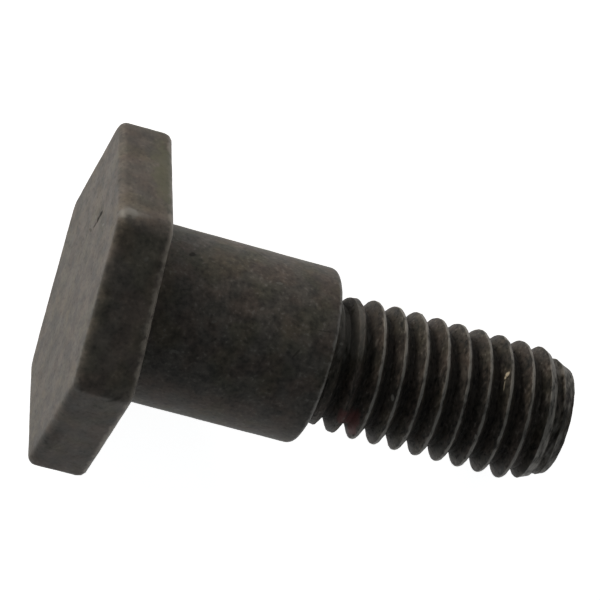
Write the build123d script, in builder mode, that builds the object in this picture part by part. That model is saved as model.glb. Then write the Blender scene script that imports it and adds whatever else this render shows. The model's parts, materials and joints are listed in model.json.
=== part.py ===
from build123d import *

import math
import os

# T-slot bolt: one forged piece with a thin hexagonal head, a plain round shank
# and a thinner right-hand thread. It is made upright, with the centre of the
# head's bearing face at the origin and the tip towards +Z, and then laid down
# to rest on one flat of its head and on its thread. Millimetres, +Z up.

# Head
head_across_flats = 17.0
head_thickness = 3.0
head_corner_radius = 1.06
head_outer_edge_radius = 0.55
head_bearing_edge_radius = 0.2

# Plain shank, from the head's bearing face to its own end face
shank_diameter = 10.0
shank_length = 10.85
shank_root_flare = 0.4
shank_end_chamfer = 0.35

# Thread, from the shank's end face to the tip; its first full crest is measured
# from that face, on the side that lies uppermost
thread_diameter = 7.8
thread_pitch = 1.25
thread_depth = 0.72
thread_root_width = 0.22
thread_flank_angle = 30.0
thread_first_crest = 2.94
runout_diameter = 7.1
runout_length = 2.5

# Tip
length_under_head = 25.25
tip_diameter = 6.1
tip_chamfer_length = 1.9

# The groove's section: its mouth stands a little proud of the crests, to cut clean
thread_radius = thread_diameter / 2
groove_root_radius = thread_radius - thread_depth
flank_slope = math.tan(math.radians(thread_flank_angle))
groove_overcut = thread_pitch / 20
groove_reach = thread_depth + groove_overcut
groove_mouth_half = thread_root_width / 2 + groove_reach * flank_slope
crest_half_width = thread_pitch / 2 - thread_root_width / 2 - thread_depth * flank_slope

# The groove starts on the upper side, half a pitch off a crest, and inside the
# shank, whose material then closes that end
first_upper_crest = shank_length + thread_first_crest
turns_inside_shank = math.ceil(thread_first_crest / thread_pitch) + 1
groove_start = first_upper_crest - (turns_inside_shank + 0.5) * thread_pitch
groove_turns = math.ceil((length_under_head - groove_start) / thread_pitch) + 1

# The last full crest before the tip's chamfer, on the side that lies lowest
full_thread_end = length_under_head - tip_chamfer_length
first_lower_crest = first_upper_crest + thread_pitch / 2
lower_crests = math.floor((full_thread_end - first_lower_crest) / thread_pitch)
crest_support = first_lower_crest + lower_crests * thread_pitch + crest_half_width

# Resting pose: the bearing edge of the head's bottom flat is one support, and
# that last full crest is the other
head_support_radius = head_across_flats / 2 - head_bearing_edge_radius
support_run = crest_support + head_bearing_edge_radius
support_drop = head_support_radius - thread_radius
support_span = math.hypot(support_run, support_drop)
rest_tilt = math.atan2(support_drop, support_run) + math.asin(head_bearing_edge_radius / support_span)
bearing_height = crest_support * math.sin(rest_tilt) + thread_radius * math.cos(rest_tilt)

# One turn of the V groove, which starts on the upper side
with BuildPart() as groove_turn:
    with BuildLine() as groove_path:
        Helix(pitch=thread_pitch, height=thread_pitch, radius=groove_root_radius)
    with BuildSketch(Plane.XZ) as groove_section:
        with BuildLine():
            Polyline(
                (groove_root_radius, -thread_root_width / 2),
                (groove_root_radius + groove_reach, -groove_mouth_half),
                (groove_root_radius + groove_reach, groove_mouth_half),
                (groove_root_radius, thread_root_width / 2),
                close=True,
            )
        make_face()
    sweep(path=groove_path.wire(), is_frenet=True)

with BuildPart() as upright_bolt:
    # Threaded end before its thread: it thins towards the shank and at the tip
    with BuildSketch(Plane.XZ) as threaded_end_section:
        with BuildLine():
            Polyline(
                (0, groove_start),
                (runout_diameter / 2, groove_start),
                (runout_diameter / 2, shank_length),
                (thread_radius, shank_length + runout_length),
                (thread_radius, full_thread_end),
                (tip_diameter / 2, length_under_head),
                (0, length_under_head),
                close=True,
            )
        make_face()
    revolve(axis=Axis.Z)

    # Thread: the right-hand groove, turn after turn
    with Locations(*[(0, 0, groove_start + turn * thread_pitch) for turn in range(groove_turns)]):
        add(groove_turn.part, mode=Mode.SUBTRACT)

    # Head: a hexagon with worn corners, its outer rim rounder than its bearing rim
    with BuildSketch(Plane.XY.offset(-head_thickness)) as head_outline:
        RegularPolygon(radius=head_across_flats / 2, side_count=6, major_radius=False, rotation=90)
        fillet(head_outline.vertices(), radius=head_corner_radius)
    extrude(amount=head_thickness)
    fillet(faces().sort_by(Axis.Z)[0].edges(), radius=head_outer_edge_radius)
    bearing_face = faces().filter_by(Plane.XY).sort_by(lambda face: abs(face.center().Z))[0]
    fillet(bearing_face.edges(), radius=head_bearing_edge_radius)

    # Shank, flared into the head and chamfered at its end
    with BuildSketch(Plane.XZ) as shank_section:
        with BuildLine():
            Polyline(
                (0, -head_thickness / 2),
                (shank_diameter / 2 + shank_root_flare, -head_thickness / 2),
                (shank_diameter / 2 + shank_root_flare, 0),
                (shank_diameter / 2, shank_root_flare),
                (shank_diameter / 2, shank_length - shank_end_chamfer),
                (shank_diameter / 2 - shank_end_chamfer, shank_length),
                (0, shank_length),
                close=True,
            )
        make_face()
    revolve(axis=Axis.Z)

# Laid down: the axis runs towards +X and dips by the tilt. The origin is on the
# floor, midway between the head's lowest corner and the upper rim of the tip.
along = Vector(math.cos(rest_tilt), 0, -math.sin(rest_tilt))
upward = Vector(math.sin(rest_tilt), 0, math.cos(rest_tilt))
head_rim = along * (head_outer_edge_radius - head_thickness)
head_rim -= upward * (head_across_flats / 2 - head_outer_edge_radius)
tip_rim = along * length_under_head + upward * (tip_diameter / 2)
bearing_offset = (head_rim.X - head_outer_edge_radius + tip_rim.X) / 2
rest_plane = Plane(origin=(-bearing_offset, 0, bearing_height), x_dir=upward, z_dir=along)
with BuildPart(rest_plane) as t_slot_bolt:
    add(upright_bolt.part)

t_slot_bolt.part.label = "t_slot_bolt"
os.makedirs("parts", exist_ok=True)
export_step(t_slot_bolt.part, "parts/t_slot_bolt.step")
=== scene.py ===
"""A T-slot bolt of blackened forged steel, lying at rest on a pale floor.

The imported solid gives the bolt's place. One watertight mesh stands for it, with the head, the shank and
the thread each made by a class of its own in the bolt's own frame: millimetres, +Z from the head towards
the tip, +X on the side that lies uppermost, and the origin in the middle of the head's bearing face.
"""

import json
import logging
import math
from collections.abc import Callable, Iterable
from dataclasses import dataclass, field
from enum import Enum

import bmesh
import bpy
from bmesh.types import BMEdge, BMesh, BMLayerItem, BMVert
from bpy.types import NodeSocket
from mathutils import Euler, Matrix, Vector, noise

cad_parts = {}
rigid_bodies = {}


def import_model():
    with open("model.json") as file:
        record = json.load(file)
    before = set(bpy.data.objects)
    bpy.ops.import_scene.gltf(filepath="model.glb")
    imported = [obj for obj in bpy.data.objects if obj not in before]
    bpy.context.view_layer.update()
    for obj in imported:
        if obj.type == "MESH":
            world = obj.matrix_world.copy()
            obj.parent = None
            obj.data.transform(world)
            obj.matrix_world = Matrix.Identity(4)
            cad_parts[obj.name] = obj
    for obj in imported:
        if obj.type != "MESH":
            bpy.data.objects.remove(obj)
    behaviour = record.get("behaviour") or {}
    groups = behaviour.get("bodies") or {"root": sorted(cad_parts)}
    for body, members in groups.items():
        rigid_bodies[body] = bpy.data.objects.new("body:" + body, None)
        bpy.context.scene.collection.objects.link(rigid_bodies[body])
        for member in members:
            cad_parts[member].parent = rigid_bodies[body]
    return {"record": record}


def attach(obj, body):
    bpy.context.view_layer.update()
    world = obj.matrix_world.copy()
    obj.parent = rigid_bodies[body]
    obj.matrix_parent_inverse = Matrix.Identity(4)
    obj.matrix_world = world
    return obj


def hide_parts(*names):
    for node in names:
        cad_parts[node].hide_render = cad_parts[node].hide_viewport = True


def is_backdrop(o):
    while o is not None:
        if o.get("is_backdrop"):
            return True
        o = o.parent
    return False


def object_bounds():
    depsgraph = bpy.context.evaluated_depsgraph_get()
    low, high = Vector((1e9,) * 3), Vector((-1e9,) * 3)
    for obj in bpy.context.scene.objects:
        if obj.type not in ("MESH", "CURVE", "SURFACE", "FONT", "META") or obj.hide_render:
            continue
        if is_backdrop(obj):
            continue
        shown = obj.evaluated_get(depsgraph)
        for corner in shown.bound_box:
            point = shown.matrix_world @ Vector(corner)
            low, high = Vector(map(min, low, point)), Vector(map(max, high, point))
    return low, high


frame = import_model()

LOG = logging.getLogger("t_slot_bolt")
MILLIMETRE = 0.001
BOLT_NODE = "t_slot_bolt"
ROUND = 192  # edges round the head's outline, the shank and the shoulder
HAIR = 1e-4  # millimetres within which two places count as the same
LONG = 1.0  # millimetres over which an edge of the head is long enough to be cut
PIT_FRACTAL = (0.8, 2.0, 3)  # dimension, lacunarity and octaves of the pits' noise
WHITE = (1.0, 1.0, 1.0)

Colour = tuple[float, float, float]
Point = tuple[float, float, float]


class Layer(Enum):
    """The point attributes that carry wear, painted highlight and painted shade from the modelling to the
    finish.
    """

    # Wear on the rounded rims; on the head's bearing rim it also paints a highlight.
    EDGE = "edge_wear"
    CREST = "thread_crest"
    # Depth into a thread's root, which sets the painted shade there.
    ROOT = "thread_root"
    BARE = "outer_face"


class Look(Enum):
    """Colours that stain the steel or lay it bare, and colours laid on as painted highlight and painted
    shade.
    """

    # Dark of a nick, also used for the painted shade in the thread's roots.
    NICK_AND_SHADE = (0.008, 0.007, 0.006)
    # Grey of worn steel, also laid on as painted highlight and painted light.
    WORN_AND_LIT = (0.19, 0.18, 0.162)
    BRIGHT = (0.60, 0.52, 0.38)
    RUST = (0.100, 0.031, 0.028)
    OIL = (0.100, 0.098, 0.058)


class Blend(Enum):
    """How one colour acts on another, by the Mix node's name for it."""

    COVER = "MIX"
    TINT = "MULTIPLY"


class Region(Enum):
    """The bolt's regions. Each has its own finish, and the value is its material index."""

    HEAD = 0
    SHANK = 1
    THREAD = 2


# ---- Place ----


@dataclass(frozen=True)
class RestingPlace:
    """Where the bolt lies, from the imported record's mounts.

    Attributes:
        bearing_centre: Middle of the head's bearing face, in metres.
        along: Unit vector along the bolt, towards its tip.
    """

    bearing_centre: Vector
    along: Vector

    @classmethod
    def from_record(cls, record: dict, head_thickness: float) -> "RestingPlace":
        """Reads the place off the mount on the head's outer face.

        Args:
            record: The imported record.
            head_thickness: The head's thickness, in millimetres.

        Returns:
            The resting place.
        """
        head_face = next(mount for mount in record["mounts"] if mount["name"] == "head_face")
        along = -Vector(head_face["axis"]).normalized()
        outer_centre = Vector(head_face["pos_m"])
        return cls(outer_centre + along * head_thickness * MILLIMETRE, along)

    @property
    def across(self) -> Vector:
        """Unit vector level with the floor and square to the bolt."""
        return Vector((0, 0, 1)).cross(self.along).normalized()

    @property
    def upward(self) -> Vector:
        """Unit vector square to the bolt, on its uppermost side."""
        return self.along.cross(self.across)

    def turn(self) -> Matrix:
        """The rotation from the bolt's own axes to the room's."""
        return Matrix((self.upward, -self.across, self.along)).transposed()

    def matrix(self) -> Matrix:
        """The whole move from the bolt's frame in millimetres to the room's in metres."""
        scale = Matrix.Scale(MILLIMETRE, 4)
        return Matrix.Translation(self.bearing_centre) @ self.turn().to_4x4() @ scale


# ---- Modelling ----


def add_object(name: str, data: bpy.types.ID) -> bpy.types.Object:
    """Puts a mesh, a lamp or a camera into the scene as an object."""
    made = bpy.data.objects.new(name, data)
    bpy.context.scene.collection.objects.link(made)
    return made


def of_kind(kind: type, items: Iterable[object]) -> list:
    """Those of the items that are of one kind."""
    return [item for item in items if isinstance(item, kind)]


def edges_where(bm: BMesh, test: Callable[[Vector, Vector], bool]) -> list[BMEdge]:
    """The edges whose two ends pass a test."""
    return [edge for edge in bm.edges if test(edge.verts[0].co, edge.verts[1].co)]


def step_between(low: float, high: float, value: float) -> float:
    """A smooth step from 0 at low to 1 at high."""
    share = min(max((value - low) / (high - low), 0.0), 1.0)
    return share * share * (3 - 2 * share)


def new_worn_mesh() -> BMesh:
    """An empty mesh with the layers that carry wear."""
    bm = bmesh.new()
    for layer in Layer:
        bm.verts.layers.float.new(layer.value)
    return bm


def wear_layer(bm: BMesh, layer: Layer) -> BMLayerItem:
    """One of those layers, as a key to a point's value."""
    return bm.verts.layers.float[layer.value]


@dataclass
class TurnedRing:
    """An open ring of edges round the bolt's axis that is drawn out step by step, as on a lathe.

    Attributes:
        bm: The mesh that holds it.
        edges: Its edges.
        radius: Its radius.
        height: Its place along the axis.
    """

    bm: BMesh
    edges: list[BMEdge]
    radius: float
    height: float

    @classmethod
    def within(cls, bm: BMesh, rim: list[BMEdge], radius: float, height: float) -> "TurnedRing":
        """Starts a round ring inside a rim at the same height, with one row of faces between them."""
        made = bmesh.ops.extrude_edge_only(bm, edges=rim)["geom"]
        for vert in of_kind(BMVert, made):
            vert.co.xy = vert.co.xy.normalized() * radius
        return cls(bm, of_kind(BMEdge, made), radius, height)

    def draw_to(self, radius: float, height: float, steps: int = 1) -> None:
        """Draws the ring out in a straight line to another radius and height.

        Args:
            radius: The new radius.
            height: The new place along the axis.
            steps: How many rows of faces to make.
        """
        start_radius, start_height = self.radius, self.height
        for step in range(1, steps + 1):
            share = step / steps
            between = start_radius + share * (radius - start_radius)
            self._extrude(between, start_height + share * (height - start_height))

    def draw_arc(
        self, centre_radius: float, centre_height: float, start: float, end: float, steps: int
    ) -> None:
        """Draws the ring along a circular arc in the bolt's section.

        Args:
            centre_radius: The arc's centre, from the axis.
            centre_height: The arc's centre, along the axis.
            start: Angle in degrees where the ring is now, from the outward direction towards the tip.
            end: Angle in degrees where it ends.
            steps: How many rows of faces to make.
        """
        reach = math.hypot(self.radius - centre_radius, self.height - centre_height)
        for step in range(1, steps + 1):
            angle = math.radians(start + (end - start) * step / steps)
            self._extrude(centre_radius + reach * math.cos(angle), centre_height + reach * math.sin(angle))

    def close(self) -> None:
        """Closes the ring with a fan of triangles."""
        face = bmesh.ops.contextual_create(self.bm, geom=self.edges)["faces"]
        bmesh.ops.poke(self.bm, faces=face)

    def _extrude(self, radius: float, height: float) -> None:
        """Draws the ring out by one row of faces."""
        made = bmesh.ops.extrude_edge_only(self.bm, edges=self.edges)["geom"]
        verts = of_kind(BMVert, made)
        factor = radius / self.radius
        bmesh.ops.scale(self.bm, vec=(factor, factor, 1), verts=verts)
        bmesh.ops.translate(self.bm, vec=(0, 0, height - self.height), verts=verts)
        self.edges = of_kind(BMEdge, made)
        self.radius = radius
        self.height = height


@dataclass
class HexHead:
    """The thin hexagonal head, from its outer face to the ring where the shank begins.

    Attributes:
        across_flats: Width across the flats.
        thickness: Height of the head.
        corner_radius: Rounding of the upright corners.
        upper_corner_radii: Rounding of the two that lie uppermost, on the -Y side and on the +Y side.
        outer_edge_radius: Rounding of the outer rim.
        bearing_edge_radius: Rounding of the rim on the shank's side.
        swell: How much thicker the head is towards the shank on its -Y side and on its +Y side.
        swell_across: Where along Y it has the one swelling and where the other.
        swell_below: Heights under the bearing face where the swelling begins and is full.
        swell_above: Heights over it where the swelling has gone and where it is still full.
        narrowing: How far the two uppermost corners stand in towards each other.
        narrowing_reach: Radii at which the narrowing begins and is full.
        narrowing_side: How far along Y from the middle it is full.
        corner_steps: Rows of faces round an upright corner.
        rim_steps: Rows of faces over the outer rim and over the other.
        cuts: Cuts across the flats, the outer face and the bearing face.
        middle_radius: Radius of the fan of faces in the middle of the outer face.
    """

    across_flats: float = 17.0
    thickness: float = 3.0
    corner_radius: float = 1.06
    upper_corner_radii: tuple[float, float] = (1.25, 0.6)
    outer_edge_radius: float = 0.5
    bearing_edge_radius: float = 0.5
    swell: tuple[float, float] = (0.07, 0.33)
    swell_across: tuple[float, float] = (-4.5, 5.0)
    swell_below: tuple[float, float] = (-2.1, -0.2)
    swell_above: tuple[float, float] = (2.0, 0.4)
    narrowing: float = 0.31
    narrowing_reach: tuple[float, float] = (5.6, 8.0)
    narrowing_side: float = 4.9
    corner_steps: int = 6
    rim_steps: tuple[int, int] = (6, 3)
    cuts: tuple[int, int, int] = (8, 26, 9)
    middle_radius: float = 0.5

    def build(self, bm: BMesh, root_radius: float) -> TurnedRing:
        """Makes the head.

        Args:
            bm: The bolt's mesh.
            root_radius: The radius where the shank begins on the bearing face.

        Returns:
            The ring that the shank grows from.
        """
        rim = self._outline(bm)
        ring = TurnedRing.within(bm, rim, root_radius, 0.0)
        made = bmesh.ops.extrude_edge_only(bm, edges=rim)["geom"]
        bmesh.ops.translate(bm, vec=(0, 0, -self.thickness), verts=of_kind(BMVert, made))
        TurnedRing.within(bm, of_kind(BMEdge, made), self.middle_radius, -self.thickness).close()
        bmesh.ops.recalc_face_normals(bm, faces=bm.faces)
        outer_steps, bearing_steps = self.rim_steps
        self._round(bm, -self.thickness, self.outer_edge_radius, outer_steps)
        self._round(bm, 0.0, self.bearing_edge_radius, bearing_steps)
        self._divide(bm)
        return ring

    def _outline(self, bm: BMesh) -> list[BMEdge]:
        """A hexagon with rounded corners and as many edges as the shank's rings have."""
        corner = self.across_flats / math.sqrt(3)
        made = bmesh.ops.create_circle(bm, cap_ends=True, radius=corner, segments=6)
        cap = made["verts"][0].link_faces[0]
        raised = bmesh.ops.extrude_face_region(bm, geom=[cap])["geom"]
        raised_verts = of_kind(BMVert, raised)
        bmesh.ops.translate(bm, vec=(0, 0, self.thickness), verts=raised_verts)
        lower = set(made["verts"])
        upright = [
            edge for vert in raised_verts for edge in vert.link_edges if edge.other_vert(vert) in lower
        ]
        upper = [edge for edge in upright if edge.verts[0].co.x > corner / 2]
        others = [edge for edge in upright if edge not in upper]
        upper.sort(key=lambda edge: edge.verts[0].co.y)
        for edge, radius in zip(upper, self.upper_corner_radii):
            self._bevel(bm, [edge], radius / math.sqrt(3), self.corner_steps)
        self._bevel(bm, others, self.corner_radius / math.sqrt(3), self.corner_steps)
        level = self.thickness / 2
        spare = [vert for vert in bm.verts if vert.co.z > level and vert.co.xy.length > corner / 2]
        bmesh.ops.delete(bm, geom=spare, context="VERTS")
        outline = edges_where(bm, self._on_rim)
        faces = dict.fromkeys(face for edge in outline for face in edge.link_faces)
        bmesh.ops.delete(bm, geom=list(faces), context="FACES_ONLY")
        sides = [edge for edge in outline if edge.calc_length() > self.across_flats / 4]
        side_steps = ROUND // 6 - self.corner_steps
        bmesh.ops.subdivide_edges(bm, edges=sides, cuts=side_steps - 1)
        return edges_where(bm, self._on_rim)

    def _on_rim(self, first: Vector, second: Vector) -> bool:
        """Whether an edge between two points lies on the rim of the head."""
        return min(first.xy.length, second.xy.length) > self.across_flats / 2 - HAIR

    def _round(self, bm: BMesh, height: float, radius: float, steps: int) -> None:
        """Rounds the rim of the head at one height."""
        rim = edges_where(
            bm, lambda a, b: max(abs(a.z - height), abs(b.z - height)) < HAIR and self._on_rim(a, b)
        )
        self._bevel(bm, rim, radius, steps)

    @staticmethod
    def _bevel(bm: BMesh, edges: list[BMEdge], offset: float, steps: int) -> None:
        """Rounds edges off, from an offset on either side of them."""
        arc = {"offset_type": "OFFSET", "profile": 0.5, "affect": "EDGES", "material": -1}
        bmesh.ops.bevel(bm, geom=edges, offset=offset, segments=steps, **arc)

    def _divide(self, bm: BMesh) -> None:
        """Divides the flats and both faces into small faces, so that wear can shape them."""
        tests = (
            lambda a, b: max(a.z, b.z) <= 0 and abs(a.z - b.z) > LONG,
            lambda a, b: max(a.z, b.z) < HAIR - self.thickness and abs(a.xy.length - b.xy.length) > LONG,
            lambda a, b: max(abs(a.z), abs(b.z)) < HAIR and abs(a.xy.length - b.xy.length) > LONG,
        )
        for test, cuts in zip(tests, self.cuts):
            bmesh.ops.subdivide_edges(bm, edges=edges_where(bm, test), cuts=cuts, use_grid_fill=True)

    def forge(self, bm: BMesh) -> None:
        """Makes the head uneven: thicker towards the shank on its +Y side, and narrower on top."""
        least, most = self.swell
        flat = self.across_flats / 2
        for vert in bm.verts:
            x, y, z = vert.co
            if z < HAIR:
                rim = step_between(*self.narrowing_reach, vert.co.xy.length)
                side = min(max(y / self.narrowing_side, -1), 1)
                vert.co.y -= self.narrowing * rim * max(x, 0) / flat * side
            near = step_between(*self.swell_below, z) * step_between(*self.swell_above, z)
            vert.co.z += near * (least + (most - least) * step_between(*self.swell_across, y))


@dataclass
class PlainShank:
    """The plain round shank, from its flare under the head to the shoulder where the thread begins.

    Attributes:
        diameter: Diameter of the shank.
        length: From the bearing face to the shoulder.
        root_flare: Radius of the flare at the head.
        end_radius: Rounding of the shoulder's edge.
        arc_steps: Rows of faces round the flare and round the shoulder's edge.
        side_steps: Rows of faces along the shank.
        shoulder_steps: Rows of faces across the shoulder.
    """

    diameter: float = 10.0
    length: float = 10.85
    root_flare: float = 0.4
    end_radius: float = 0.35
    arc_steps: int = 5
    side_steps: int = 36
    shoulder_steps: int = 3

    @property
    def root_radius(self) -> float:
        """The radius where the flare meets the bearing face."""
        return self.diameter / 2 + self.root_flare

    def build(self, ring: TurnedRing, shoulder_radius: float) -> None:
        """Turns the shank from its first ring to the shoulder's inner ring.

        Args:
            ring: The ring on the bearing face.
            shoulder_radius: The radius at which the shoulder meets the thread's ring.
        """
        radius = self.diameter / 2
        edge_height = self.length - self.end_radius
        ring.draw_arc(self.root_radius, self.root_flare, -90, -180, self.arc_steps)
        ring.draw_to(radius, edge_height, self.side_steps)
        ring.draw_arc(radius - self.end_radius, edge_height, 0, 90, self.arc_steps)
        ring.draw_to(shoulder_radius, self.length, self.shoulder_steps)


@dataclass
class ThreadedEnd:
    """The thread, from the shoulder to the tip, and the tip's chamfer and end face.

    Attributes:
        diameter: Outer diameter of the thread.
        pitch: Distance from crest to crest.
        depth: Depth of the groove.
        root_width: Width of the groove's flat bottom.
        flank_angle: Angle between a flank and the plane across the axis, in degrees.
        first_crest: From the shoulder to the first full crest, on the uppermost side.
        runout_diameter: Diameter over the crests at the shoulder.
        runout_length: Length over which the crests reach their full height.
        tip_diameter: Diameter of the end face.
        chamfer_length: Length of the tip's chamfer.
        tip_height: From the bearing face to the end face.
        rim_width: Width of the flat rim round the end face's dish.
        dish_depth: Depth of the dish.
        dish_middle: Radius of the fan of faces in its middle.
        start_gap: Gap between the shoulder and the thread's first ring, so that they face each other.
        ease: How far a crest's two edges are eased.
        crest_edge_wear: Wear on those edges, where the crest's own is 1.
        flank_wear: Wear at the top of a flank.
        crest_fade: How far from the shoulder the crests' wear begins, and where it is full.
        tip_wear: Least wear at the tip.
        chamfer_wear: Least wear on crests cut down by the chamfer.
        steps_per_turn: Rows of faces in one turn.
        flank_rows: Rows of faces up a flank.
        dish_rows: Rows of faces across the dish.
    """

    diameter: float = 7.8
    pitch: float = 1.25
    depth: float = 0.72
    root_width: float = 0.22
    flank_angle: float = 30.0
    first_crest: float = 2.94
    runout_diameter: float = 7.1
    runout_length: float = 2.5
    tip_diameter: float = 6.1
    chamfer_length: float = 1.9
    tip_height: float = 25.25
    rim_width: float = 0.12
    dish_depth: float = 0.05
    dish_middle: float = 0.4
    start_gap: float = 0.02
    ease: float = 0.05
    crest_edge_wear: float = 0.75
    flank_wear: float = 0.35
    crest_fade: tuple[float, float] = (0.9, 3.0)
    tip_wear: float = 0.6
    chamfer_wear: float = 0.58
    steps_per_turn: int = 128
    flank_rows: int = 5
    dish_rows: int = 12

    def build(self, bm: BMesh, shoulder: TurnedRing) -> None:
        """Makes the thread and joins it to the shoulder.

        Args:
            bm: The bolt's mesh.
            shoulder: The shoulder's inner ring.
        """
        work = new_worn_mesh()
        base = shoulder.height + self.start_gap
        self._spin(work, base)
        self._trim(work, base)
        self._limit(work, base)
        tip_level = self.tip_height - HAIR
        end = [edge for edge in work.edges if edge.is_boundary and edge.verts[0].co.z > tip_level]
        tip = TurnedRing(work, end, self.tip_diameter / 2, self.tip_height)
        tip.draw_to(self.tip_diameter / 2 - self.rim_width, self.tip_height)
        dish_radius = tip.radius - HAIR
        dish_bottom = self.tip_height - self.dish_depth
        tip.draw_to(self.dish_middle, dish_bottom, self.dish_rows)
        tip.close()
        crest_layer = wear_layer(work, Layer.CREST)
        for vert in work.verts:
            if vert.co.z > dish_bottom - HAIR and vert.co.xy.length < dish_radius:
                vert[crest_layer] = 0.0
        mesh = bpy.data.meshes.new("thread_work")
        work.to_mesh(mesh)
        work.free()
        bm.from_mesh(mesh)
        bpy.data.meshes.remove(mesh)
        inner = shoulder.radius - HAIR
        start = [edge for edge in bm.edges if edge.is_boundary and edge.verts[0].co.xy.length < inner]
        bmesh.ops.bridge_loops(bm, edges=[*shoulder.edges, *start])

    def _profile(self) -> list[tuple[float, float, float, float]]:
        """One pitch of the thread's section, from the middle of one root to the middle of the next.

        Returns:
            Points as (radius, offset along the axis, crest wear, root depth).
        """
        outer = self.diameter / 2
        inner = outer - self.depth
        slope = math.tan(math.radians(self.flank_angle))
        root_half = self.root_width / 2
        crest_half = self.pitch / 2 - root_half - self.depth * slope
        rise = [(inner, -self.pitch / 2, 0.0, 1.0)]
        flank_start = -self.pitch / 2 + root_half
        flank_end = -crest_half
        for row in range(self.flank_rows + 1):
            share = row / self.flank_rows
            radius = inner + share * (self.depth - self.ease)
            offset = flank_start + share * (flank_end - flank_start) * (1 - self.ease / self.depth)
            rise.append((radius, offset, self.flank_wear * share**4, (1 - share) ** 2))
        rise.append((outer - 0.3 * self.ease, 0.25 * self.ease - crest_half, self.crest_edge_wear, 0.0))
        rise.append((outer, self.ease - crest_half, 1.0, 0.0))
        fall = [(radius, -offset, crest, root) for radius, offset, crest, root in reversed(rise)]
        return [*rise, *fall]

    def _spin(self, work: BMesh, start_height: float) -> None:
        """Winds the profile round the axis, right-hand, from below the shoulder to beyond the tip."""
        crest_layer, root_layer = (wear_layer(work, layer) for layer in (Layer.CREST, Layer.ROOT))
        first = start_height + self.first_crest
        before = math.ceil(self.first_crest / self.pitch) + 1
        turns = before + math.ceil((self.tip_height - first) / self.pitch) + 1
        base = first - before * self.pitch
        verts = []
        for radius, offset, crest, root in self._profile():
            vert = work.verts.new((radius, 0, base + offset))
            vert[crest_layer] = crest
            vert[root_layer] = root
            verts.append(vert)
        edges = [work.edges.new(pair) for pair in zip(verts, verts[1:])]
        step = {"steps": self.steps_per_turn, "dvec": (0, 0, self.pitch / self.steps_per_turn)}
        wound = {"cent": (0, 0, 0), "axis": (0, 0, 1), "angle": 2 * math.pi, "use_merge": False}
        bmesh.ops.spin(work, geom=[*verts, *edges], **step, **wound)
        turn = [*work.verts, *work.edges, *work.faces]
        for count in range(1, turns):
            copy = bmesh.ops.duplicate(work, geom=turn)["geom"]
            bmesh.ops.translate(work, vec=(0, 0, count * self.pitch), verts=of_kind(BMVert, copy))
        bmesh.ops.remove_doubles(work, verts=work.verts, dist=1e-3)

    def _trim(self, work: BMesh, start_height: float) -> None:
        """Cuts the wound thread square at the shoulder and at the tip."""
        for height, side in ((start_height, -1), (self.tip_height, 1)):
            everything = [*work.verts, *work.edges, *work.faces]
            plane = {"plane_co": (0, 0, height), "plane_no": (0, 0, side), "dist": 1e-5}
            bmesh.ops.bisect_plane(work, geom=everything, clear_outer=True, **plane)

    def _limit(self, work: BMesh, start_height: float) -> None:
        """Turns the crests down to the run-out's cone and the tip's chamfer, and sets the wear and the roots'
        painted shade there.
        """
        crest_layer, root_layer = (wear_layer(work, layer) for layer in (Layer.CREST, Layer.ROOT))
        full, runout, tip = self.diameter / 2, self.runout_diameter / 2, self.tip_diameter / 2
        for vert in work.verts:
            run = vert.co.z - start_height
            left = (self.tip_height - vert.co.z) / self.chamfer_length
            vert[crest_layer] *= step_between(*self.crest_fade, run)
            to_tip = step_between(2.0, 0.0, left)
            vert[root_layer] *= 1 - to_tip
            vert[crest_layer] = max(vert[crest_layer], self.tip_wear * to_tip)
            rising = runout + (full - runout) * run / self.runout_length
            limit = min(full, rising, tip + (full - tip) * left)
            if vert.co.xy.length > limit:
                vert.co.xy *= limit / vert.co.xy.length
                if left < 1:
                    vert[crest_layer] = max(self.chamfer_wear, left**0.5)


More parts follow.
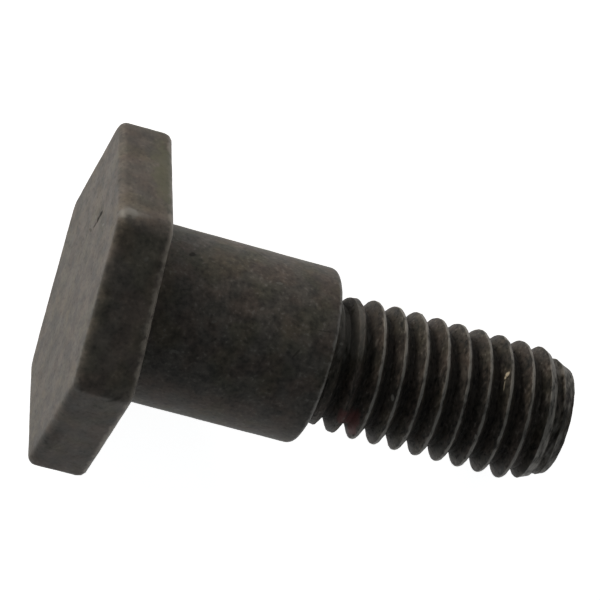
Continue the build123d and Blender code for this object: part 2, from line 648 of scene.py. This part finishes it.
@dataclass
class TSlotBolt:
    """The whole bolt as one watertight piece.

    Attributes:
        head: The hexagonal head.
        shank: The plain shank.
        thread: The threaded end.
        wave_depth: Depth of the surface's long waves, in millimetres.
        pit_depth: Depth of the short ones on the head and the shank.
        thread_pit_depth: Depth of the short ones on the thread.
        wave_pace: How many long waves there are to a millimetre, and short ones.
        shoulder_gap: How far the shoulder's last ring stands outside the thread.
        bare_facing: How squarely a point of the head faces outwards where it begins to count as part of
            the outer face, and where it counts in full.
        sharp_angle: The angle between faces, in degrees, past which an edge shows as sharp.
    """

    head: HexHead = field(default_factory=HexHead)
    shank: PlainShank = field(default_factory=PlainShank)
    thread: ThreadedEnd = field(default_factory=ThreadedEnd)
    wave_depth: float = 0.03
    pit_depth: float = 0.015
    thread_pit_depth: float = 0.035
    wave_pace: tuple[float, float] = (0.55, 2.6)
    shoulder_gap: float = 0.2
    bare_facing: tuple[float, float] = (0.35, 0.95)
    sharp_angle: float = 38.0

    def build(self, place: RestingPlace) -> bpy.types.Object:
        """Models the bolt and lays it in its place.

        Args:
            place: Where the bolt lies.

        Returns:
            The finished object, at the origin and unturned, with its place in its mesh.
        """
        bm = new_worn_mesh()
        ring = self.head.build(bm, self.shank.root_radius)
        self.shank.build(ring, self.thread.diameter / 2 + self.shoulder_gap)
        self.thread.build(bm, ring)
        bmesh.ops.recalc_face_normals(bm, faces=bm.faces)
        self._assign(bm)
        self._weather(bm)
        self.head.forge(bm)
        open_edges = sum(1 for edge in bm.edges if not edge.is_manifold)
        LOG.info("bolt_body: %d faces, %d open edges", len(bm.faces), open_edges)
        mesh = bpy.data.meshes.new("bolt_body")
        bm.to_mesh(mesh)
        bm.free()
        mesh.transform(place.matrix())
        mesh.shade_smooth()
        mesh.set_sharp_from_angle(angle=math.radians(self.sharp_angle))
        return add_object("bolt_body", mesh)

    def _assign(self, bm: BMesh) -> None:
        """Gives each face its region, and each point its edge wear, which on the head's bearing rim also
        paints a highlight, and its share of the outer face.
        """
        shank_end = self.shank.length + HAIR
        for face in bm.faces:
            height = face.calc_center_median().z
            region = Region.HEAD if height < HAIR else Region.SHANK if height < shank_end else Region.THREAD
            face.material_index = region.value
        edge_layer, bare_layer = (wear_layer(bm, layer) for layer in (Layer.EDGE, Layer.BARE))
        flare = self.shank.diameter / 2 + 2 * self.shank.root_flare
        middle = -self.head.thickness / 2
        bm.normal_update()
        for vert in bm.verts:
            height = vert.co.z
            on_flare = abs(height) < self.shank.root_flare and vert.co.xy.length < flare
            if middle < height < shank_end and not on_flare:
                # Edge wear on the rounded rims, strongest where the normal leans halfway from the axis; on
                # the head's bearing rim it also paints a highlight.
                axial = abs(vert.normal.z)
                vert[edge_layer] = 2 * axial * math.sqrt(max(1 - axial * axial, 0))
            if height < middle:
                vert[bare_layer] = step_between(*self.bare_facing, -vert.normal.z)

    def _weather(self, bm: BMesh) -> None:
        """Presses the surface in by waves and pits, and never outwards."""
        moves = []
        wave_pace, pit_pace = self.wave_pace
        for vert in bm.verts:
            wave = 0.5 + 0.5 * noise.noise(vert.co * wave_pace)
            pit = min(max(0.5 + 0.5 * noise.fractal(vert.co * pit_pace, *PIT_FRACTAL), 0.0), 1.0)
            depth = self.thread_pit_depth if vert.co.z > self.shank.length + HAIR else self.pit_depth
            moves.append((vert, vert.normal * (self.wave_depth * wave + depth * pit)))
        for vert, move in moves:
            vert.co -= move


# ---- Finishes ----

# An edge is two values of a noise or a weight: where the thing begins to show, and where it is full.
BROAD_SIZE = 3.2  # millimetres
BLOTCH_SIZE = 0.9  # millimetres
BLOTCH_EDGE = (0.34, 0.66)
PIT_EDGE = (0.40, 0.28)
FLECK_EDGE = (0.60, 0.74)
FLECK_PATCH_EDGE = (0.35, 0.6)
WEAR_EDGE = (0.4, 1.1)
MARK_EDGE = (1.1, 0.55)  # in half widths from the mark's middle
WEAR_RAGGED = 1.8  # how much the grain breaks up an edge
MARK_RAGGED = 1.5
ROOT_SHADE = 0.6  # how dark the painted shade in a thread's root is
GRAIN_ROUGHNESS, WORN_ROUGHNESS, HOLLOW_ROUGHNESS = 0.25, -0.1, 0.35


class ShaderGraph:
    """A node tree of a material or a world, with one method that adds any node."""

    def __init__(self, owner: bpy.types.Material | bpy.types.World):
        """Empties the owner's node tree and takes hold of it."""
        self.owner = owner
        owner.use_nodes = True
        self.tree = owner.node_tree
        self.tree.nodes.clear()

    def add(self, kind: str, settings: dict | None = None, **sockets: object) -> bpy.types.Node:
        """Adds a node.

        Args:
            kind: The node's type.
            settings: Its own settings, which are set first.
            **sockets: Plain values, Values, sockets or nodes for its inputs, by identifier, with
                underscores for spaces.

        Returns:
            The node.
        """
        node = self.tree.nodes.new(kind)
        for key, value in (settings or {}).items():
            setattr(node, key, value)
        named = {socket.identifier.replace(" ", "_"): socket for socket in node.inputs}
        for key, value in sockets.items():
            if isinstance(value, Value):
                value = value.socket
            elif isinstance(value, bpy.types.Node):
                value = value.outputs[0]
            if isinstance(value, NodeSocket):
                self.tree.links.new(value, named[key])
            else:
                named[key].default_value = (*value, 1.0) if named[key].type == "RGBA" else value
        return node

    def attribute(self, layer: Layer) -> "Value":
        """A point attribute as a value."""
        node = self.add("ShaderNodeAttribute", {"attribute_name": layer.value})
        return Value(self, node.outputs["Fac"])

    def noise(self, vector: NodeSocket, size: float, detail: float) -> "Value":
        """Fractal noise around 0.5, with features of a size in the vector's units and finer detail."""
        node = self.add("ShaderNodeTexNoise", Vector=vector, Scale=1 / size, Detail=detail)
        return Value(self, node.outputs["Fac"])

    def stretched(self, vector: NodeSocket, factors: Point) -> NodeSocket:
        """A vector multiplied part by part."""
        node = self.add("ShaderNodeVectorMath", {"operation": "MULTIPLY"}, Vector=vector, Vector_001=factors)
        return node.outputs[0]

    def length(self, vector: NodeSocket) -> "Value":
        """A vector's length."""
        node = self.add("ShaderNodeVectorMath", {"operation": "LENGTH"}, Vector=vector)
        return Value(self, node.outputs["Value"])

    def within(self, vector: NodeSocket, place: Vector, turn: Euler, scale: Point) -> NodeSocket:
        """A vector read in the axes of a box that is scaled, turned and put in a place."""
        box = {"Location": place, "Rotation": turn, "Scale": scale}
        node = self.add("ShaderNodeMapping", {"vector_type": "TEXTURE"}, Vector=vector, **box)
        return node.outputs[0]

    def mix(
        self, factor: "Value | float", first: object, second: object, blend: Blend = Blend.COVER
    ) -> NodeSocket:
        """Mixes two colours, plain or linked. The factor is the second one's share."""
        settings = {"data_type": "RGBA", "blend_type": blend.value}
        node = self.add("ShaderNodeMix", settings, Factor_Float=factor, A_Color=first, B_Color=second)
        return next(socket for socket in node.outputs if socket.identifier == "Result_Color")


@dataclass(frozen=True)
class Value:
    """A number in a shader. Python's operators on it add Math nodes.

    Attributes:
        graph: The graph that it is part of.
        socket: The socket that gives it.
    """

    graph: ShaderGraph
    socket: NodeSocket

    def _math(self, operation: str, first: object, second: object, clamp: bool = False) -> "Value":
        """Adds a Math node, whose result is kept between 0 and 1 on demand."""
        settings = {"operation": operation, "use_clamp": clamp}
        node = self.graph.add("ShaderNodeMath", settings, Value=first, Value_001=second)
        return Value(self.graph, node.outputs[0])

    def __add__(self, other: object) -> "Value":
        """Sum."""
        return self._math("ADD", self, other)

    __radd__ = __add__

    def __sub__(self, other: object) -> "Value":
        """Difference."""
        return self._math("SUBTRACT", self, other)

    def __rsub__(self, other: object) -> "Value":
        """Difference, reflected."""
        return self._math("SUBTRACT", other, self)

    def __mul__(self, other: object) -> "Value":
        """Product."""
        return self._math("MULTIPLY", self, other)

    __rmul__ = __mul__

    def clamped(self) -> "Value":
        """Kept between 0 and 1."""
        return self._math("ADD", self, 0.0, clamp=True)

    def between(self, low: float, high: float) -> "Value":
        """A smooth step from 0 at low to 1 at high, which may be the lower number."""
        settings = {"interpolation_type": "SMOOTHSTEP"}
        node = self.graph.add("ShaderNodeMapRange", settings, Value=self, From_Min=low, From_Max=high)
        return Value(self.graph, node.outputs[0])


@dataclass(frozen=True)
class Mark:
    """One mark of wear, stain or painted light, an ellipsoid's cut through the surface with a ragged edge.

    Attributes:
        look: What it shows.
        start: One end, in the bolt's frame.
        end: The other end.
        width: Half its width, in millimetres.
        strength: How strongly it colours the steel.
    """

    look: Look
    start: Point
    end: Point
    width: float
    strength: float

    def weight(self, graph: ShaderGraph, skin: NodeSocket, ragged: Value) -> Value:
        """How strongly the mark acts at a point.

        Args:
            graph: The finish's graph.
            skin: The bolt's coordinates, in millimetres.
            ragged: Noise around 0.5 that breaks up the mark's edge.

        Returns:
            The weight, from 0 to its strength.
        """
        start, end = Vector(self.start), Vector(self.end)
        run = end - start
        turn = run.to_track_quat("Z", "Y").to_euler()
        half_widths = (self.width, self.width, self.width + run.length / 2)
        inside = graph.within(skin, (start + end) / 2, turn, half_widths)
        distance = graph.length(inside) + (ragged - 0.5) * MARK_RAGGED
        return distance.between(*MARK_EDGE) * self.strength


class Tint(Enum):
    """Patches that tint the skin, as (size in millimetres, edge, what the skin is multiplied by)."""

    BROWN = (1.5, (0.42, 0.62), (1.12, 0.95, 0.90))
    OLIVE = (2.1, (0.47, 0.62), (0.94, 1.02, 0.80))


@dataclass(frozen=True)
class BlackenedSteel:
    """Forged steel with a dull black skin, mottled, stained by oil and worn to grey on its edges, with
    painted highlight on the head's bearing rim and painted shade in the thread's roots.

    Attributes:
        name: The material's name.
        light: The skin where it is thin.
        dark: The skin where it is thick.
        worn: The grey of a worn edge, also the colour of the painted highlight on the head's bearing rim.
        bare: How much lighter the rubbed outer face is, as a share of the way to worn.
        edge_share: How much of an edge's wear and painted highlight shows.
        brown: How strongly patches of brown tint it.
        olive: How strongly patches of oil tint it.
        broad: Contrast of the broadest patches, about 3 mm.
        blotch: Contrast of the blotches, under 1 mm.
        grain: Contrast of the grain.
        grain_size: Size of the grain, in millimetres.
        speck: Contrast of the finest specks.
        speck_size: Size of the specks, in millimetres.
        face_contrast: How much stronger the contrasts are on the head's outer face.
        stretch: What the coordinates are multiplied by before the grain is read, so that it runs along
            the direction with the least.
        flecks: How strongly small light flecks show.
        pits: How strongly small dark pits show.
        grain_depth: Height of the grain, in millimetres.
        roughness: Mean roughness.
        metallic: How metallic it is.
        specular: Strength of its gloss.
        marks: Its single marks.
    """

    name: str
    light: Colour
    dark: Colour = (0.042, 0.039, 0.035)
    worn: Colour = (0.17, 0.16, 0.145)
    bare: float = 0.0
    edge_share: float = 0.9
    brown: float = 0.6
    olive: float = 0.45
    broad: float = 0.6
    blotch: float = 0.35
    grain: float = 1.2
    grain_size: float = 0.45
    speck: float = 0.9
    speck_size: float = 0.2
    face_contrast: float = 0.0
    stretch: Point = (1.0, 1.0, 1.0)
    flecks: float = 0.5
    pits: float = 0.12
    grain_depth: float = 0.014
    roughness: float = 0.62
    metallic: float = 0.3
    specular: float = 0.2
    marks: tuple[Mark, ...] = ()

    def material(self, place: RestingPlace) -> bpy.types.Material:
        """Builds the material on the bolt's own coordinates.

        Args:
            place: Where the bolt lies.

        Returns:
            The material.
        """
        graph = ShaderGraph(bpy.data.materials.new(self.name))
        own = graph.add("ShaderNodeTexCoord").outputs["Object"]
        skin = graph.within(own, place.bearing_centre, place.turn().to_euler(), (MILLIMETRE,) * 3)
        drawn = graph.stretched(skin, self.stretch)
        grain = graph.noise(drawn, self.grain_size, detail=2.0)
        speck = graph.noise(drawn, self.speck_size, detail=1.0)
        blotch = graph.noise(drawn, BLOTCH_SIZE, detail=2.0)

        colour = self._skin(graph, skin, blotch, grain, speck)
        # Edge and crest wear, lightening towards the worn grey; on the head's bearing rim the edge wear also
        # paints a highlight.
        wear = graph.attribute(Layer.EDGE) * self.edge_share + graph.attribute(Layer.CREST)
        worn = (wear + (grain - 0.5) * WEAR_RAGGED).between(*WEAR_EDGE)
        colour = graph.mix(worn, colour, self.worn)
        # Painted shade: the thread's roots are darkened by their depth towards the nick colour, together with
        # the real pits and, below, the nicks.
        pits_and_root_shade = graph.attribute(Layer.ROOT) * ROOT_SHADE + speck.between(*PIT_EDGE) * self.pits
        colour = graph.mix(pits_and_root_shade.clamped(), colour, Look.NICK_AND_SHADE.value)
        for mark in self.marks:
            weight = mark.weight(graph, skin, grain)
            colour = graph.mix(weight, colour, mark.look.value)
            if mark.look is Look.NICK_AND_SHADE:
                pits_and_root_shade = pits_and_root_shade + weight
        pits_and_root_shade = pits_and_root_shade.clamped()

        change = (grain - 0.5) * GRAIN_ROUGHNESS + worn * WORN_ROUGHNESS + pits_and_root_shade * HOLLOW_ROUGHNESS
        roughness = (self.roughness + change).clamped()
        height = (grain + speck) * 0.5 - pits_and_root_shade
        bumped = graph.add("ShaderNodeBump", Distance=self.grain_depth * MILLIMETRE, Height=height)
        shader = graph.add(
            "ShaderNodeBsdfPrincipled",
            Base_Color=colour,
            Metallic=(1 - pits_and_root_shade) * self.metallic,
            Roughness=roughness,
            Specular_IOR_Level=self.specular,
            Normal=bumped,
        )
        graph.add("ShaderNodeOutputMaterial", Surface=shader)
        return graph.owner

    def _skin(
        self, graph: ShaderGraph, skin: NodeSocket, blotch: Value, grain: Value, speck: Value
    ) -> NodeSocket:
        """The skin's colour before wear.

        Args:
            graph: The finish's graph.
            skin: The bolt's coordinates, in millimetres.
            blotch: The noise of the blotches.
            grain: The noise of the grain.
            speck: The noise of the finest specks.

        Returns:
            The colour.
        """
        broad = graph.noise(skin, BROAD_SIZE, detail=2.0)
        fine = (grain - 0.5) * self.grain + (speck - 0.5) * self.speck
        contrast = graph.attribute(Layer.BARE) * self.face_contrast + 1.0
        patch = (blotch.between(*BLOTCH_EDGE) - 0.5) * self.blotch
        tone = (broad - 0.5) * self.broad + (patch + fine) * contrast + 0.5
        colour = graph.mix(tone.clamped(), self.dark, self.light)
        for tint, strength in ((Tint.BROWN, self.brown), (Tint.OLIVE, self.olive)):
            size, edge, multiplier = tint.value
            patches = graph.noise(skin, size, detail=1.5).between(*edge)
            colour = graph.mix(patches * strength, colour, multiplier, Blend.TINT)
        rubbed = graph.attribute(Layer.BARE) * self.bare
        colour = graph.mix(rubbed, colour, self.worn)
        light = speck.between(*FLECK_EDGE) * blotch.between(*FLECK_PATCH_EDGE)
        return graph.mix(light * self.flecks, colour, self.worn)


HEAD_STEEL = BlackenedSteel(
    name="forged_head_steel",
    light=(0.130, 0.113, 0.096),
    worn=(0.204, 0.178, 0.147),
    bare=0.14,
    # The edge wear shows in full, which widens the painted highlight on the bearing rim.
    edge_share=1.0,
    brown=0.45,
    olive=0.35,
    grain=0.8,
    grain_size=0.5,
    speck=0.6,
    face_contrast=0.9,
    stretch=(0.62, 1.0, 1.0),
    flecks=0.2,
    marks=(
        Mark(Look.NICK_AND_SHADE, (2.0, -4.4, -2.98), (2.5, -4.5, -2.98), 0.19, 0.85),
        Mark(Look.NICK_AND_SHADE, (1.55, -4.08, -2.98), (2.05, -4.18, -2.98), 0.19, 0.85),
        Mark(Look.NICK_AND_SHADE, (0.9, -3.65, -2.98), (1.5, -3.9, -2.98), 0.1, 0.55),
        Mark(Look.NICK_AND_SHADE, (-0.4, -3.5, -2.98), (0.6, -3.45, -2.98), 0.09, 0.35),
        Mark(Look.NICK_AND_SHADE, (0.6, -4.35, -2.98), (2.6, -4.55, -2.98), 0.5, 0.12),
        Mark(Look.WORN_AND_LIT, (3.6, -3.88, -2.98), (4.1, -3.9, -2.98), 0.13, 0.7),
        Mark(Look.WORN_AND_LIT, (0.4, -4.25, -2.98), (0.9, -4.2, -2.98), 0.13, 0.6),
        # Painted highlight on the rounded corner that lies uppermost on the -Y side, laid on in the worn
        # grey.
        Mark(Look.WORN_AND_LIT, (7.9, -4.75, -2.8), (7.9, -4.88, -2.2), 0.47, 0.7),
        Mark(Look.WORN_AND_LIT, (7.93, -4.85, -2.65), (7.93, -4.9, -2.35), 0.36, 0.9),
        Mark(Look.WORN_AND_LIT, (7.95, -4.85, -2.1), (7.95, -4.9, -1.2), 0.22, 0.25),
        Mark(Look.WORN_AND_LIT, (8.25, 4.1, -2.75), (8.1, 4.7, -2.7), 0.22, 0.3),
        Mark(Look.WORN_AND_LIT, (0.3, 9.4, -2.6), (-0.3, 9.4, -2.6), 0.3, 0.4),
        Mark(Look.WORN_AND_LIT, (-8.0, 5.0, -0.2), (-8.3, 4.3, -0.2), 0.25, 0.5),
        Mark(Look.WORN_AND_LIT, (8.48, -2.72, -1.09), (8.48, -2.8, -1.03), 0.15, 0.35),
        Mark(Look.OIL, (1.6, -8.9, -0.45), (7.0, -5.9, -0.45), 0.8, 0.6),
        Mark(Look.NICK_AND_SHADE, (2.1, 8.5, -2.45), (4.3, 7.15, -2.4), 0.4, 0.18),
        Mark(Look.NICK_AND_SHADE, (8.1, 4.8, -0.8), (8.45, 4.2, -0.25), 0.2, 0.45),
    ),
)
SHANK_STEEL = BlackenedSteel(
    name="turned_shank_steel",
    light=(0.112, 0.100, 0.087),
    marks=(
        Mark(Look.NICK_AND_SHADE, (4.95, 1.95, 1.9), (4.95, 1.8, 2.8), 0.09, 0.6),
        Mark(Look.NICK_AND_SHADE, (4.75, -1.46, 9.4), (4.72, -1.55, 10.3), 0.05, 0.4),
        Mark(Look.NICK_AND_SHADE, (3.45, -3.6, 2.1), (3.4, -3.7, 2.2), 0.14, 0.5),
        Mark(Look.NICK_AND_SHADE, (4.95, 0.35, 4.3), (4.95, 0.6, 4.1), 0.09, 0.4),
        Mark(Look.NICK_AND_SHADE, (4.98, 0.25, 8.6), (4.98, -0.3, 8.9), 0.08, 0.45),
        Mark(Look.WORN_AND_LIT, (4.75, 1.6, 2.2), (4.75, 1.6, 2.6), 0.12, 0.4),
        Mark(Look.WORN_AND_LIT, (3.67, -3.35, 7.0), (3.64, -3.4, 7.25), 0.09, 0.4),
        Mark(Look.WORN_AND_LIT, (4.66, -1.77, 6.3), (4.64, -1.87, 6.45), 0.1, 0.4),
        Mark(Look.WORN_AND_LIT, (4.98, -0.47, 3.9), (4.98, -0.52, 4.05), 0.09, 0.35),
        Mark(Look.WORN_AND_LIT, (2.7, -4.2, 2.3), (2.7, -4.2, 2.4), 0.15, 0.4),
    ),
)
THREAD_STEEL = BlackenedSteel(
    name="rolled_thread_steel",
    light=(0.079, 0.067, 0.056),
    dark=(0.016, 0.015, 0.013),
    worn=(0.200, 0.187, 0.168),
    edge_share=0.5,
    brown=0.45,
    olive=0.4,
    blotch=0.25,
    grain=1.8,
    grain_size=0.28,
    speck=1.6,
    speck_size=0.11,
    stretch=(0.35, 0.35, 1.0),
    flecks=0.4,
    pits=0.35,
    grain_depth=0.03,
    marks=(
        Mark(Look.BRIGHT, (3.08, -1.94, 20.97), (3.07, -1.8, 20.95), 0.16, 1.0),
        Mark(Look.BRIGHT, (3.06, -1.7, 20.91), (3.07, -1.62, 20.92), 0.1, 0.9),
        Mark(Look.BRIGHT, (3.12, -1.55, 20.92), (3.33, -0.9, 20.95), 0.05, 0.5),
        Mark(Look.WORN_AND_LIT, (3.52, 0.95, 14.85), (3.52, 1.05, 14.9), 0.15, 1.0),
        Mark(Look.WORN_AND_LIT, (3.42, -1.11, 11.35), (3.42, -1.11, 11.45), 0.1, 0.8),
        Mark(Look.WORN_AND_LIT, (3.36, 1.85, 20.05), (3.36, 1.95, 20.1), 0.11, 0.8),
        Mark(Look.WORN_AND_LIT, (3.32, 0.38, 24.15), (3.32, 0.38, 24.25), 0.11, 0.7),
        # Painted light: the flank next to the shoulder is made lighter where the light from the right falls
        # on it.
        Mark(Look.WORN_AND_LIT, (2.0, -3.4, 11.8), (3.7, -1.1, 12.0), 1.1, 0.38),
        Mark(Look.RUST, (2.3, 2.6, 13.3), (0.7, 3.35, 13.8), 0.6, 0.85),
        Mark(Look.RUST, (2.6, 2.5, 12.65), (2.1, 2.85, 12.9), 0.38, 0.75),
    ),
)


# ---- Studio ----


@dataclass(frozen=True)
class ViewPoint:
    """The camera: how the bolt shows in the picture.

    Attributes:
        picture_width: The picture's width and height, in pixels.
        focal_length: The lens's focal length, in pixels.
        bearing_place: Where the middle of the bearing face shows, in pixels from the top left corner.
        bearing_scale: Pixels in a millimetre at that point.
        slope: How far the bolt's axis slopes down to the right, in degrees.
        away: How far the tip leans away, in degrees.
        sensor: The sensor's width, in millimetres.
    """

    picture_width: float = 600.0
    focal_length: float = 3024.903
    bearing_place: tuple[float, float] = (125.677, 305.822)
    bearing_scale: float = 18.387
    slope: float = 15.276
    away: float = 12.927
    sensor: float = 36.0

    def build(self, place: RestingPlace) -> None:
        """Makes the scene's camera.

        Args:
            place: Where the bolt lies.
        """
        turned_away = Matrix.Rotation(math.radians(self.away), 3, "Y")
        lean = Matrix.Rotation(math.radians(-self.slope), 3, "Z") @ turned_away
        bolt = Matrix((place.along, place.across, place.upward)).transposed()
        attitude = bolt @ lean.transposed()
        distance = self.focal_length / self.bearing_scale * MILLIMETRE
        right, down = (value - self.picture_width / 2 for value in self.bearing_place)
        offset = Vector((right / self.focal_length, -down / self.focal_length, -1)) * distance
        data = bpy.data.cameras.new("camera")
        data.sensor_width = self.sensor
        data.lens = self.sensor * self.focal_length / self.picture_width
        data.clip_start = distance / 20
        camera = add_object("camera", data)
        camera.matrix_world = Matrix.Translation(place.bearing_centre - attitude @ offset) @ attitude.to_4x4()
        bpy.context.scene.camera = camera


@dataclass(frozen=True)
class SoftBox:
    """A square-cornered lamp that faces the bolt.

    Attributes:
        name: The lamp's name.
        heading: Direction in which it stands, in degrees from +X towards +Y.
        elevation: Its height above the floor, in degrees.
        watts: Its power.
        width: Its width, in millimetres.
        height: Its height, in millimetres.
        distance: Its distance from the bolt, in millimetres.
        colour: Its colour.
    """

    name: str
    heading: float
    elevation: float
    watts: float
    width: float = 110.0
    height: float = 70.0
    distance: float = 130.0
    colour: Colour = (1.0, 0.965, 0.925)

    def build(self, target: Vector) -> None:
        """Makes the lamp.

        Args:
            target: The point that it faces, in metres.
        """
        heading, elevation = math.radians(self.heading), math.radians(self.elevation)
        level = math.cos(elevation)
        toward = Vector((math.cos(heading) * level, math.sin(heading) * level, math.sin(elevation)))
        data = bpy.data.lights.new(self.name, "AREA")
        data.shape = "RECTANGLE"
        data.size = self.width * MILLIMETRE
        data.size_y = self.height * MILLIMETRE
        data.energy = self.watts
        data.color = self.colour
        lamp = add_object(self.name, data)
        lamp.location = target + toward * self.distance * MILLIMETRE
        lamp.rotation_euler = toward.to_track_quat("Z", "Y").to_euler()


@dataclass(frozen=True)
class Studio:
    """The pale floor, the room's light and the lamps.

    Attributes:
        floor_width: The floor's width, in millimetres.
        floor_colour: The floor's colour.
        floor_glow: How bright the floor shows by itself, where 1 is white.
        room_light: Strength of the even light from all round.
        room_colour: Its colour.
        lamps: The lamps.
    """

    floor_width: float = 3000.0
    floor_colour: Colour = (0.8, 0.8, 0.8)
    floor_glow: float = 0.9
    room_light: float = 0.145
    room_colour: Colour = (0.92, 1.02, 1.08)
    lamps: tuple[SoftBox, ...] = (
        SoftBox("low_left_lamp", 131, 9, 0.083, width=45, height=14, colour=(1.0, 0.93, 0.84)),
        SoftBox("high_left_lamp", 140, 48, 0.0155, colour=(1.0, 0.94, 0.87)),
        SoftBox("right_lamp", 60, 24, 0.017),
        SoftBox("front_lamp", 250, 40, 0.0065),
    )

    def build(self, target: Vector) -> None:
        """Makes the studio round the bolt.

        Args:
            target: The middle of the bolt, in metres.
        """
        self._floor()
        self._room()
        for lamp in self.lamps:
            lamp.build(target)

    def _floor(self) -> None:
        """A plain pale floor that shows white and keeps the bolt's shadow."""
        bm = bmesh.new()
        bmesh.ops.create_grid(bm, x_segments=1, y_segments=1, size=self.floor_width / 2 * MILLIMETRE)
        mesh = bpy.data.meshes.new("floor")
        bm.to_mesh(mesh)
        bm.free()
        floor = add_object("floor", mesh)
        graph = ShaderGraph(bpy.data.materials.new("pale_floor"))
        matt = graph.add("ShaderNodeBsdfDiffuse", Color=self.floor_colour)
        glow = graph.add("ShaderNodeEmission", Color=WHITE, Strength=self.floor_glow)
        lit = graph.add("ShaderNodeAddShader", Shader=matt, Shader_001=glow)
        mixed = graph.add("ShaderNodeMixShader", Fac=self._seen(graph), Shader=matt, Shader_001=lit)
        graph.add("ShaderNodeOutputMaterial", Surface=mixed)
        mesh.materials.append(graph.owner)
        floor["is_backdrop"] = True

    def _room(self) -> None:
        """Even light from all round, and white where the camera sees past the floor."""
        world = bpy.data.worlds.new("room")
        bpy.context.scene.world = world
        graph = ShaderGraph(world)
        even = graph.add("ShaderNodeBackground", Color=self.room_colour, Strength=self.room_light)
        white = graph.add("ShaderNodeBackground", Color=WHITE, Strength=1.0)
        seen = graph.add("ShaderNodeLightPath").outputs["Is Camera Ray"]
        mixed = graph.add("ShaderNodeMixShader", Fac=seen, Shader=even, Shader_001=white)
        graph.add("ShaderNodeOutputWorld", Surface=mixed)

    @staticmethod
    def _seen(graph: ShaderGraph) -> Value:
        """1 where the camera sees a surface, straight, in a gloss or through glass, and 0 elsewhere."""
        rays = graph.add("ShaderNodeLightPath").outputs
        kinds = ("Is Camera Ray", "Is Glossy Ray", "Is Transmission Ray")
        straight, mirrored, through = (Value(graph, rays[kind]) for kind in kinds)
        return (straight + mirrored + through).clamped()


def main() -> None:
    """Builds the bolt, its finishes and the studio, in order."""
    logging.basicConfig(level=logging.INFO, format="%(name)s: %(message)s")
    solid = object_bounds()
    bpy.context.scene.view_settings.view_transform = "Standard"
    bolt = TSlotBolt()
    place = RestingPlace.from_record(frame["record"], bolt.head.thickness)
    body = bolt.build(place)
    for finish in (HEAD_STEEL, SHANK_STEEL, THREAD_STEEL):
        body.data.materials.append(finish.material(place))
        LOG.info("finish %s", finish.name)
    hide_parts(BOLT_NODE)
    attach(body, "root")
    ViewPoint().build(place)
    Studio().build((solid[0] + solid[1]) / 2)


if __name__ == "__main__":
    main()
